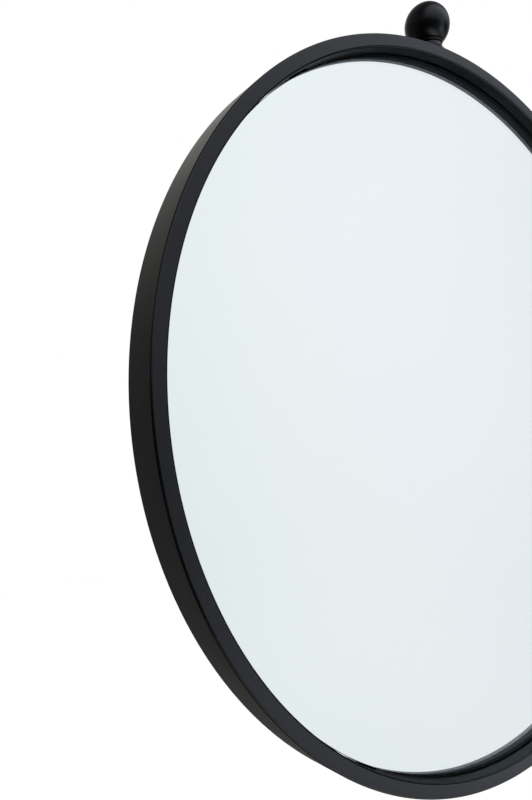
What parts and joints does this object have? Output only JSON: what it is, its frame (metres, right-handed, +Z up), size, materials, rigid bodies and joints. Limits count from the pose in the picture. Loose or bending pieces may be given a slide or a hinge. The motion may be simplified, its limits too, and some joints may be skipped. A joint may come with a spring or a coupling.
{
  "type": "round wall mirror",
  "caption": "Round wall mirror with a deep black metal ring, a recessed glass, a turned ball finial on top and swivelling D ring hangers at the back.",
  "frame": {"origin": "centre of the ring's axis on the wall plane", "axes": "+Z up, towards the finial; the glass faces -Y and the wall plane is Y = 0; +X is to the right seen from the front"},
  "size_m": [0.6, 0.0387, 0.6462],
  "materials": {
    "black_coat": "satin black powder coat",
    "mirror_glass": "silvered float glass with a ground edge",
    "mirror_tape": "foam tape",
    "mdf_board": "raw fibreboard",
    "zinc_plate": "bright zinc plate",
    "black_rubber": "moulded rubber"
  },
  "bodies": {
    "mirror": {"rim_tube": "black_coat", "board_tabs": "black_coat", "mirror_glass": "mirror_glass", "bonding_tape": "mirror_tape", "backing_board": "mdf_board", "tab_screws": "zinc_plate", "finial": "black_coat", "finial_washer": "zinc_plate", "finial_screw": "zinc_plate", "hanger_strap_left": "zinc_plate", "hanger_strap_right": "zinc_plate", "hanger_screws": "zinc_plate", "wall_bumpers": "black_rubber"},
    "left_ring": {"d_ring_left": "zinc_plate"},
    "right_ring": {"d_ring_right": "zinc_plate"}
  },
  "joints": [
    {"name": "left_ring_swing", "type": "hinge", "parent": "mirror", "child": "left_ring", "pos_m": [-0.16, -0.00842, 0.17], "axis": [-1, 0, 0], "range_deg": [0, 178]},
    {"name": "right_ring_swing", "type": "hinge", "parent": "mirror", "child": "right_ring", "pos_m": [0.16, -0.00842, 0.17], "axis": [-1, 0, 0], "range_deg": [0, 178]}
  ]
}
